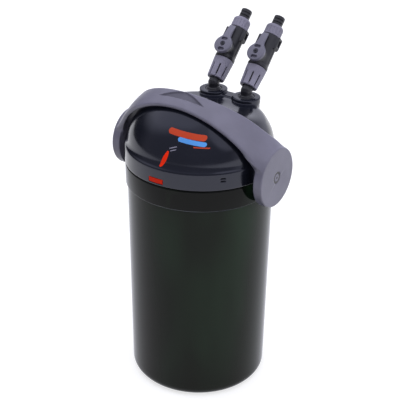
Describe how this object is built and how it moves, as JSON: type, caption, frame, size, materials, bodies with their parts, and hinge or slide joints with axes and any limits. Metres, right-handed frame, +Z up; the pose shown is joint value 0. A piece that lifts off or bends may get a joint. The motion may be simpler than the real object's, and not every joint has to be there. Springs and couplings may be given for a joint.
{
  "type": "canister filter",
  "caption": "External aquarium canister filter: tinted tub with stacked media baskets, domed pump head, swinging carry handle and swivelling hose shut-off taps.",
  "frame": {"origin": "centre of the tub's flat foot, on the surface it stands on", "axes": "+Z up along the tub, -Y towards the front of the head, +X towards the inlet tap"},
  "size_m": [0.2036, 0.2165, 0.4182],
  "materials": {
    "tinted_tub": "gloss, dark green tint",
    "black_gloss": "gloss",
    "black_satin": "satin",
    "grey_plastic": "satin",
    "red_plastic": "gloss",
    "inner_plastic": "matt",
    "rubber": "matt",
    "steel": "satin",
    "core_steel": "matt",
    "copper": "enamelled wire",
    "ceramic": "polished",
    "magnet": "matt",
    "rotor_plastic": "satin",
    "basket_plastic": "satin",
    "bail_plastic": "satin",
    "media_ceramic": "rough",
    "sponge_blue": "open foam",
    "pad_white": "fleece"
  },
  "bodies": {
    "tub": {"canister": "tinted_tub", "lug_pins": "steel"},
    "head": {"head_cover": "black_gloss", "head_base": "inner_plastic", "sealing_ring": "rubber", "cover_screws": "steel", "pivot_screws": "grey_plastic", "button_spring": "steel", "cord_gland": "rubber", "stator_core": "core_steel", "stator_coils": "copper", "impeller_shaft": "ceramic", "shaft_bush_upper": "rubber", "shaft_bush_lower": "rubber", "pump_cover": "inner_plastic", "pump_cover_screws": "steel", "intake_tube": "inner_plastic"},
    "carry_handle": {"handle": "grey_plastic"},
    "button": {"release_button": "red_plastic"},
    "impeller": {"impeller_magnet": "magnet", "impeller_wheel": "rotor_plastic"},
    "tap_left": {"elbow_left": "black_satin", "elbow_seal_left": "rubber", "tap_body_left": "black_satin", "hose_nozzle_left": "black_satin"},
    "union_left": {"union_nut_left": "grey_plastic"},
    "cap_left": {"cap_nut_left": "grey_plastic"},
    "lever_left": {"tap_lever_left": "grey_plastic", "lever_screw_left": "steel", "tap_plug_left": "rotor_plastic"},
    "tap_right": {"elbow_right": "black_satin", "elbow_seal_right": "rubber", "tap_body_right": "black_satin", "hose_nozzle_right": "black_satin"},
    "union_right": {"union_nut_right": "grey_plastic"},
    "cap_right": {"cap_nut_right": "grey_plastic"},
    "lever_right": {"tap_lever_right": "grey_plastic", "lever_screw_right": "steel", "tap_plug_right": "rotor_plastic"},
    "basket_lower_set": {"basket_lower": "basket_plastic", "ceramic_media": "media_ceramic"},
    "bail_lower": {"basket_bail_lower": "bail_plastic"},
    "basket_middle_set": {"basket_middle": "basket_plastic", "coarse_sponge": "sponge_blue"},
    "bail_middle": {"basket_bail_middle": "bail_plastic"},
    "basket_upper_set": {"basket_upper": "basket_plastic", "fine_pad": "pad_white"},
    "bail_upper": {"basket_bail_upper": "bail_plastic"}
  },
  "joints": [
    {"name": "head_lift", "type": "slide", "parent": "tub", "child": "head", "axis": [0, 0, 1], "range_m": [0, 0.4]},
    {"name": "handle_swing", "type": "hinge", "parent": "head", "child": "carry_handle", "pos_m": [0, 0, 0.2801], "axis": [1, 0, 0], "range_deg": [-31, 50]},
    {"name": "button_press", "type": "slide", "parent": "head", "child": "button", "axis": [0, 1, 0], "range_m": [0, 0.0015], "stiffness_N_per_m": 600},
    {"name": "impeller_spin", "type": "hinge", "parent": "head", "child": "impeller", "pos_m": [0, 0, 0.265], "axis": [0, 0, 1], "continuous": true},
    {"name": "tap_left_swivel", "type": "hinge", "parent": "head", "child": "tap_left", "pos_m": [-0.0225, 0.058, 0.3454], "axis": [0, 0, 1], "range_deg": [-5, 90]},
    {"name": "union_left_turn", "type": "hinge", "parent": "tap_left", "child": "union_left", "pos_m": [-0.0225, 0.058, 0.3454], "axis": [0, 0.7071, 0.7071], "continuous": true},
    {"name": "cap_left_turn", "type": "hinge", "parent": "tap_left", "child": "cap_left", "pos_m": [-0.0225, 0.058, 0.3454], "axis": [0, 0.7071, 0.7071], "continuous": true},
    {"name": "lever_left_turn", "type": "hinge", "parent": "tap_left", "child": "lever_left", "pos_m": [-0.0225, 0.0877, 0.3751], "axis": [0, -0.7071, 0.7071], "range_deg": [0, 90]},
    {"name": "tap_right_swivel", "type": "hinge", "parent": "head", "child": "tap_right", "pos_m": [0.0225, 0.058, 0.3454], "axis": [0, 0, 1], "range_deg": [-90, 5]},
    {"name": "union_right_turn", "type": "hinge", "parent": "tap_right", "child": "union_right", "pos_m": [0.0225, 0.058, 0.3454], "axis": [0, 0.7071, 0.7071], "continuous": true},
    {"name": "cap_right_turn", "type": "hinge", "parent": "tap_right", "child": "cap_right", "pos_m": [0.0225, 0.058, 0.3454], "axis": [0, 0.7071, 0.7071], "continuous": true},
    {"name": "lever_right_turn", "type": "hinge", "parent": "tap_right", "child": "lever_right", "pos_m": [0.0225, 0.0877, 0.3751], "axis": [0, -0.7071, 0.7071], "range_deg": [-90, 0]},
    {"name": "basket_lower_lift", "type": "slide", "parent": "tub", "child": "basket_lower_set", "axis": [0, 0, 1], "range_m": [0, 0.1]},
    {"name": "bail_lower_swing", "type": "hinge", "parent": "basket_lower_set", "child": "bail_lower", "pos_m": [0, 0, 0.0785], "axis": [-1, 0, 0], "range_deg": [0, 90]},
    {"name": "basket_middle_lift", "type": "slide", "parent": "tub", "child": "basket_middle_set", "axis": [0, 0, 1], "range_m": [0, 0.2]},
    {"name": "bail_middle_swing", "type": "hinge", "parent": "basket_middle_set", "child": "bail_middle", "pos_m": [0, 0, 0.1505], "axis": [-1, 0, 0], "range_deg": [0, 90]},
    {"name": "basket_upper_lift", "type": "slide", "parent": "tub", "child": "basket_upper_set", "axis": [0, 0, 1], "range_m": [0, 0.3]},
    {"name": "bail_upper_swing", "type": "hinge", "parent": "basket_upper_set", "child": "bail_upper", "pos_m": [0, 0, 0.2225], "axis": [-1, 0, 0], "range_deg": [0, 90]}
  ],
  "couplings": [
    {"joint": "basket_lower_lift", "follows": "head_lift", "ratio": 0.25},
    {"joint": "bail_lower_swing", "follows": "head_lift", "rad_per_m": 3.92},
    {"joint": "basket_middle_lift", "follows": "head_lift", "ratio": 0.5},
    {"joint": "bail_middle_swing", "follows": "head_lift", "rad_per_m": 3.92},
    {"joint": "basket_upper_lift", "follows": "head_lift", "ratio": 0.75},
    {"joint": "bail_upper_swing", "follows": "head_lift", "rad_per_m": 3.92}
  ]
}
